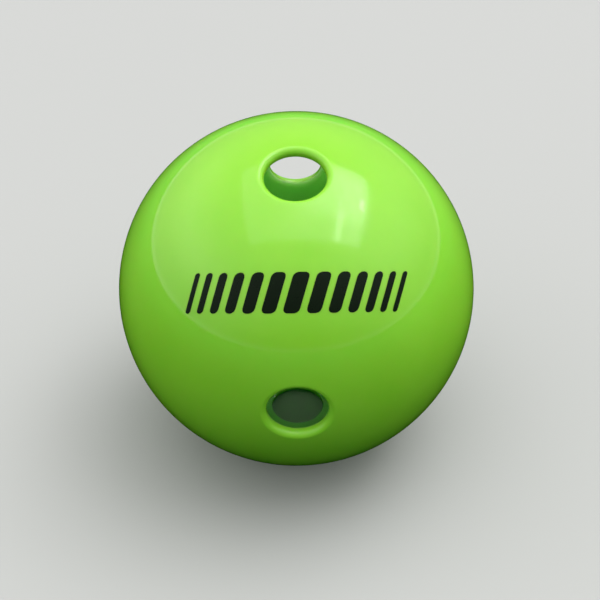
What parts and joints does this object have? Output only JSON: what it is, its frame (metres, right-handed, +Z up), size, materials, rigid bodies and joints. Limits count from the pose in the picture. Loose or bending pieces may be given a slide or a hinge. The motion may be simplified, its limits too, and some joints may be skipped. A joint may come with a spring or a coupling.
{
  "type": "perforated plastic court ball",
  "caption": "Hollow round plastic court ball: glossy lime-green wall, rounded through holes and a plain printed motif, welded from moulded halves.",
  "frame": {"origin": "centre of the bottom hole's rim, the circle that the ball stands on, straight below the ball's centre", "axes": "+Z up, -Y towards the front hole, +X to the right seen from the front; the ball is symmetric across X = 0"},
  "size_m": [0.074, 0.0733, 0.0733],
  "materials": {
    "shell_plastic": "high gloss, slightly translucent lime green",
    "weld_plastic": "resolidified weld plastic, satin",
    "print_ink": "pad-printed black ink, semi-gloss"
  },
  "bodies": {
    "root": {"front_half_shell": "shell_plastic", "rear_half_shell": "shell_plastic", "weld_bead": "weld_plastic"}
  },
  "joints": []
}
